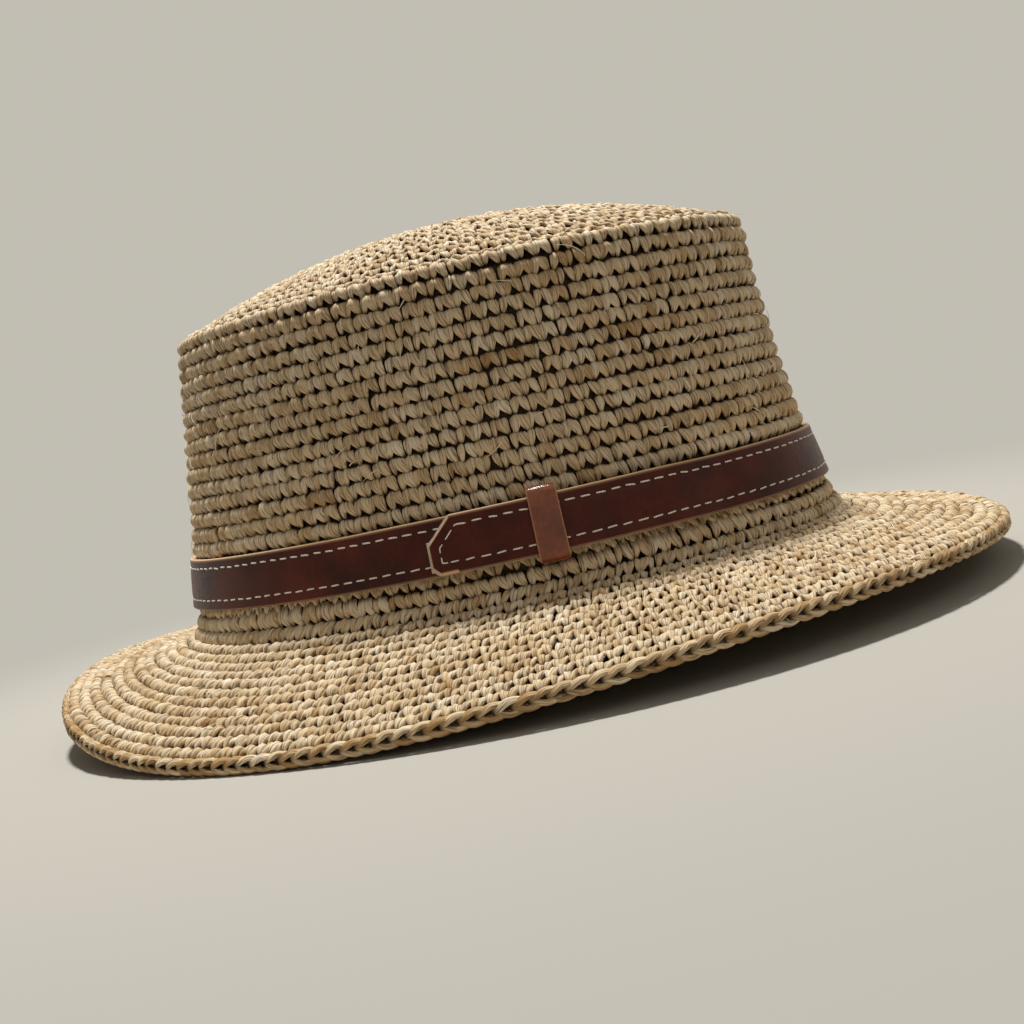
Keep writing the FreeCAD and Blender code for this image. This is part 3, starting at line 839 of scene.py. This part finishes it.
def addNode(tree, kind, inputs=None, stops=None, **settings):
    # a node with its settings; an input given as a socket is linked, one given as a node is linked to
    # that node's first output, and any other is a value
    node = tree.nodes.new("ShaderNode" + kind)
    for key, value in settings.items():
        setattr(node, key, value)
    for key, value in (inputs or {}).items():
        value = value.outputs[0] if isinstance(value, bpy.types.Node) else value
        if isinstance(value, bpy.types.NodeSocket):
            tree.links.new(value, node.inputs[key])
        else:
            node.inputs[key].default_value = value
    if stops:
        ramp = node.color_ramp
        while len(ramp.elements) < len(stops):
            ramp.elements.new(0.5)
        for element, (position, colour) in zip(ramp.elements, stops):
            element.position = position
            element.color = linear(colour) if isinstance(colour, str) else (colour, colour, colour, 1)
    return node


def newMaterial(name):
    # an empty material and its node tree
    material = bpy.data.materials.new(name)
    material.use_nodes = True
    material.node_tree.nodes.clear()
    return material, material.node_tree


def finishMaterial(tree, colour, roughness, relief, strength, distance, more=None):
    # how each material ends: its relief as a bump of a distance in metres, the shader and the output
    bump = addNode(tree, "Bump", {"Height": relief, "Strength": strength, "Distance": distance})
    shader = addNode(tree, "BsdfPrincipled", {
        "Base Color": colour, "Roughness": roughness, "Normal": bump, **(more or {}),
    })
    addNode(tree, "OutputMaterial", {"Surface": shader})


# crease, shade and back are painted shade colours: crease for the fold valleys, shade where a strand dives
# in, back for the crochet's body seen in the gaps between the legs
raffia = {
    "pale": "#F2E2C4", "straw": "#DCC298", "tan": "#B18C5A", "crease": "#755634", "shade": "#3D2A18",
    "back": "#33240F", "foldWidth": 0.42, "foldLength": 8.0, "roughness": 0.55, "gloss": 0.28,
}


def raffiaMaterial(name, paintedShadeColour):
    # raffia palm leaf, split and twisted: satin ribbons with long folds, each strand its own tone, with
    # painted shade in the fold valleys and where it dives in. The folds are drawn about 0.4 mm wide, as
    # coarse as they need to be to show.
    material, tree = newMaterial(name)
    uv = addNode(tree, "UVMap", uv_map="strandMap")
    tint = addNode(tree, "Attribute", attribute_name="tint")
    height = addNode(tree, "Attribute", attribute_name="height")
    stretched = addNode(tree, "Mapping", {
        "Vector": uv, "Scale": (1 / raffia["foldLength"], 1 / raffia["foldWidth"], 1),
    })
    folds = addNode(tree, "TexNoise", {
        "Vector": stretched, "Scale": 1.0, "Detail": 2.0, "Roughness": 0.55, "Distortion": 0.25,
    })
    line = addNode(tree, "MapRange", {
        "Value": folds, "From Min": 0.38, "From Max": 0.51, "To Min": 0.7, "To Max": 0.0,
    }, interpolation_type="SMOOTHSTEP")
    blotches = addNode(tree, "Mapping", {"Vector": uv, "Scale": (0.3, 0.5, 1)})
    blotch = addNode(tree, "TexNoise", {"Vector": blotches, "Scale": 1.0, "Detail": 2.0})
    spread = addNode(tree, "Math", {
        0: blotch, 1: 0.45, 2: tint.outputs["Fac"],
    }, operation="MULTIPLY_ADD")
    colour = addNode(tree, "ValToRGB", {"Fac": spread}, stops=[
        (0.35, raffia["pale"]), (0.72, raffia["straw"]), (1.0, raffia["tan"]),
    ])
    # painted shade: the crease colour where the fold noise is low, in the valleys that the bump sinks
    folded = addNode(tree, "MixRGB", {
        "Fac": line, "Color1": colour, "Color2": linear(raffia["crease"]),
    })
    # painted shade: the lower a point's height over the hat's face, the more of the painted shade colour
    # it takes
    depth = addNode(tree, "MapRange", {
        "Value": height.outputs["Fac"], "From Min": -0.9, "From Max": 0.45, "To Min": 1.0, "To Max": 0.0,
    }, interpolation_type="SMOOTHSTEP")
    shaded = addNode(tree, "MixRGB", {
        "Fac": depth, "Color1": folded, "Color2": linear(paintedShadeColour),
    })
    finishMaterial(
        tree, shaded, raffia["roughness"], folds, 0.9, 0.0006,
        {"Specular IOR Level": raffia["gloss"]})
    return material


leather = {
    "strap": "#47190F", "strapDeep": "#33110A", "strapWorn": "#5A2415", "strapRoughness": 0.36,
    "keeper": "#7A3D20", "keeperDeep": "#5E2C15", "keeperWorn": "#9A5833", "keeperRoughness": 0.2,
    "strapGloss": 0.18, "keeperGloss": 0.5,
    "strapRawEdge": "#DDB68A", "keeperRawEdge": "#B07A50", "pore": 0.5,
}


def leatherMaterial(name, piece):
    # vegetable-tanned leather, dyed and waxed: half gloss, fine pores, slow cloudy dye, and paler where
    # it is cut, by the rawEdge share, which on the strap also holds painted shade and a painted highlight
    roughness = leather[piece + "Roughness"]
    material, tree = newMaterial(name)
    where = addNode(tree, "TexCoord").outputs["Object"]
    raw = addNode(tree, "Attribute", attribute_name="rawEdge")
    cloud = addNode(tree, "TexNoise", {"Vector": where, "Scale": 70.0, "Detail": 4.0})
    pores = addNode(tree, "TexVoronoi", {
        "Vector": where, "Scale": 1000 / leather["pore"],
    }, feature="DISTANCE_TO_EDGE")
    grain = addNode(tree, "TexNoise", {"Vector": where, "Scale": 900.0, "Detail": 3.0})
    colour = addNode(tree, "ValToRGB", {"Fac": cloud}, stops=[
        (0.32, leather[piece + "Deep"]), (0.5, leather[piece]), (0.72, leather[piece + "Worn"]),
    ])
    speck = addNode(tree, "MapRange", {
        "Value": grain, "From Min": 0.3, "From Max": 0.7, "To Min": 0.84, "To Max": 1.14,
    })
    toned = addNode(tree, "VectorMath", {0: colour, "Scale": speck}, operation="SCALE")
    cut = addNode(tree, "MixRGB", {
        "Fac": raw.outputs["Fac"], "Color1": toned, "Color2": linear(leather[piece + "RawEdge"]),
    })
    rough = addNode(tree, "MapRange", {
        "Value": grain, "From Min": 0.3, "From Max": 0.7,
        "To Min": roughness - 0.06, "To Max": roughness + 0.1,
    })
    relief = addNode(tree, "Math", {0: grain, 1: 0.5, 2: pores}, operation="MULTIPLY_ADD")
    finishMaterial(
        tree, cut, rough, relief, 0.22, 0.0003,
        {"Specular IOR Level": leather[piece + "Gloss"]})
    return material


def liningMaterial():
    # undyed split leather: pale, matt and a little hairy
    material, tree = newMaterial("undyedSplitLeather")
    where = addNode(tree, "TexCoord").outputs["Object"]
    nap = addNode(tree, "TexNoise", {"Vector": where, "Scale": 700.0, "Detail": 4.0})
    colour = addNode(tree, "ValToRGB", {"Fac": nap}, stops=[(0.3, "#B9AE9B"), (0.7, "#DAD2C2")])
    finishMaterial(tree, colour, 0.85, nap, 0.4, 0.0004)
    return material


def threadMaterial():
    # waxed linen thread: off-white, satin, with a tight twist
    material, tree = newMaterial("waxedLinenThread")
    uv = addNode(tree, "UVMap", uv_map="strandMap")
    turned = addNode(tree, "Mapping", {"Vector": uv, "Rotation": (0, 0, 0.7)})
    twist = addNode(tree, "TexWave", {"Vector": turned, "Scale": 0.5}, wave_type="BANDS").outputs["Fac"]
    colour = addNode(tree, "ValToRGB", {"Fac": twist}, stops=[(0.1, "#CFC6B2"), (0.7, "#F1EBDD")])
    finishMaterial(tree, colour, 0.55, twist, 0.4, 0.0001)
    return material


def ribbonMaterial():
    # grosgrain ribbon: woven cotton with cross ribs about 1 mm apart
    material, tree = newMaterial("cottonGrosgrain")
    uv = addNode(tree, "UVMap", uv_map="strandMap")
    ribs = addNode(tree, "TexWave", {
        "Vector": uv, "Scale": 0.31, "Distortion": 0.4,
    }, wave_type="BANDS", bands_direction="X")
    fine = addNode(tree, "TexNoise", {"Vector": uv, "Scale": 3.0, "Detail": 3.0})
    colour = addNode(tree, "ValToRGB", {"Fac": fine}, stops=[(0.3, "#A99471"), (0.7, "#C4B08B")])
    finishMaterial(tree, colour, 0.8, ribs.outputs["Fac"], 0.6, 0.0004, {"Sheen Weight": 0.2})
    return material


raffiaStrands = raffiaMaterial("twistedRaffiaStraw", raffia["shade"])
# the crochet's body is drawn with the back colour, a painted shade
raffiaShadedBody = raffiaMaterial("raffiaBodyPaintedShade", raffia["back"])
strapMaterial = leatherMaterial("waxedStrapLeather", "strap")
keeperMaterial = leatherMaterial("polishedKeeperLeather", "keeper")

dressed = [
    (crochet[name], raffiaStrands, "hat", "straw", [node])
    for name, (rows, look, node) in crochetPieces.items()
] + [
    (crownTipShell, raffiaShadedBody, "hat", "straw", ["crown_tip"]),
    (crownSideShell, raffiaShadedBody, "hat", "straw", ["crown_side"]),
    (brimShell, raffiaShadedBody, "hat", "straw", ["brim"]),
    (brimEdgeChain, raffiaStrands, "hat", "straw", ["brim_edge_round"]),
    (looseStraw, raffiaStrands, "hat", "straw", []),
    (sweatbandRibbon, ribbonMaterial(), "hat", "ribbon", ["sweatband"]),
    (strapLeather, strapMaterial, "band", "band_leather", ["band_leather"]),
    (strapLining, liningMaterial(), "band", "lining", ["band_lining"]),
    (strapThread, threadMaterial(), "band", "band_leather", []),
    (keeperLoopLeather, keeperMaterial, "keeper", "keeper_leather", ["keeper_loop"]),
]
for piece, material, body, slotName, nodes in dressed:
    piece.data.materials.append(material)
    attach(piece, body)
    if nodes:
        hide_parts(*nodes)
ribbonLine = wallPoint(
    np.linspace(0, 2 * np.pi, 721), ribbon["lowerEdge"] + ribbon["height"] / 2,
    -crown["wallThickness"] - ribbon["clearance"])


# Floor, light and camera

studio = {
    "background": "#C2BEB3", "floor": "#B1ADA3", "floorRadii": (0.001, 300, 700, 1500),
    "floorHeight": -0.2, "fadeFrom": 0.15, "fadeTo": 0.42, "fill": 0.27,
    "fillColour": "#FFF8F0", "keyPower": 27.5, "keySize": 0.2, "keyPlace": (-0.14, 0.24, 1.45),
    "sidePower": 0.9, "sideSize": 0.6, "sidePlace": (0.8, -0.8, 0.9), "lampTarget": (0, 0, 0.06),
}


def makeFloor():
    # a flat disc under the hat that fades into the background, and is clear from below, so that the
    # hat's inside can be seen
    turn = np.linspace(0, 2 * np.pi, 96, endpoint=False)[:, None]
    radii = np.array(studio["floorRadii"])
    height = studio["floorHeight"] + 0 * turn * radii
    grid = np.stack([radii * np.cos(turn), radii * np.sin(turn), height], -1)
    floor = gridObject("floor", grid, grid[..., :2])
    material, tree = newMaterial("paleFloor")
    where = addNode(tree, "TexCoord")
    distance = addNode(tree, "VectorMath", {0: where.outputs["Object"]}, operation="LENGTH")
    fade = addNode(tree, "MapRange", {
        "Value": distance.outputs["Value"], "From Min": studio["fadeFrom"], "From Max": studio["fadeTo"],
    }, interpolation_type="SMOOTHSTEP")
    under = addNode(tree, "NewGeometry")
    hidden = addNode(tree, "Math", {0: fade, 1: under.outputs["Backfacing"]}, operation="MAXIMUM")
    matt = addNode(tree, "BsdfDiffuse", {"Color": linear(studio["floor"])})
    clear = addNode(tree, "BsdfTransparent")
    both = addNode(tree, "MixShader", {0: hidden, 1: matt, 2: clear})
    addNode(tree, "OutputMaterial", {"Surface": both})
    floor.data.materials.append(material)


makeFloor()


def makeWorld():
    # soft fill light; rays that are seen, mirrored or let through get the background's colour
    world = bpy.data.worlds.new("softRoom")
    bpy.context.scene.world = world
    world.use_nodes = True
    tree = world.node_tree
    tree.nodes.clear()
    ray = addNode(tree, "LightPath").outputs
    seen = addNode(tree, "Background", {"Color": linear(studio["background"]), "Strength": 1.0})
    light = addNode(tree, "Background", {
        "Color": linear(studio["fillColour"]), "Strength": studio["fill"],
    })
    shown = ray["Is Camera Ray"]
    for other in ("Is Glossy Ray", "Is Transmission Ray"):
        shown = addNode(tree, "Math", {0: shown, 1: ray[other]}, operation="MAXIMUM")
    mixed = addNode(tree, "MixShader", {0: shown, 1: light, 2: seen})
    addNode(tree, "OutputWorld", {"Surface": mixed})


makeWorld()


def addLamp(name, power, size, place):
    # a round lamp of a power in watts and a size in metres, turned to the hat's middle
    lamp = bpy.data.lights.new(name, "AREA")
    lamp.energy = power
    lamp.size = size
    lamp.shape = "DISK"
    holder = bpy.data.objects.new(name, lamp)
    holder.location = place
    towards = Vector(studio["lampTarget"]) - Vector(place)
    holder.rotation_euler = towards.to_track_quat("-Z", "Y").to_euler()
    bpy.context.scene.collection.objects.link(holder)


addLamp("keyLamp", studio["keyPower"], studio["keySize"], studio["keyPlace"])
addLamp("sideLamp", studio["sidePower"], studio["sideSize"], studio["sidePlace"])

view = {
    "distance": 460.0, "yaw": 14.29, "rise": 3.9, "roll": -12.55, "shiftX": -6.35, "shiftY": 21.77,
    "focalPixels": 1436.0, "halfPicture": 512, "target": (0.0, 0.0, 63.0),
}


def makeCamera():
    # looks at the hat from the wearer's right, a little above the brim, and is rolled as far as the hat
    # is tilted in the photograph
    yaw = np.radians(view["yaw"])
    rise = np.radians(view["rise"])
    roll = np.radians(view["roll"])
    back = np.array([np.sin(yaw) * np.cos(rise), -np.cos(yaw) * np.cos(rise), np.sin(rise)])
    right = np.array([np.cos(yaw), np.sin(yaw), 0.0])
    up = np.cross(back, right)
    rolledRight = right * np.cos(roll) + up * np.sin(roll)
    rolledUp = -right * np.sin(roll) + up * np.cos(roll)
    place = np.array(view["target"]) + view["distance"] * back
    place = place - view["shiftX"] * rolledRight - view["shiftY"] * rolledUp
    lens = bpy.data.cameras.new("camera")
    lens.angle = 2 * np.arctan(view["halfPicture"] / view["focalPixels"])
    lens.clip_start = 0.01
    camera = bpy.data.objects.new("camera", lens)
    matrix = Matrix.Identity(4)
    for column, axis in enumerate((rolledRight, rolledUp, back, place * mm)):
        for line in range(3):
            matrix[line][column] = axis[line]
    camera.matrix_world = matrix
    bpy.context.scene.collection.objects.link(camera)
    bpy.context.scene.camera = camera


makeCamera()
bpy.context.scene.view_settings.view_transform = "Standard"
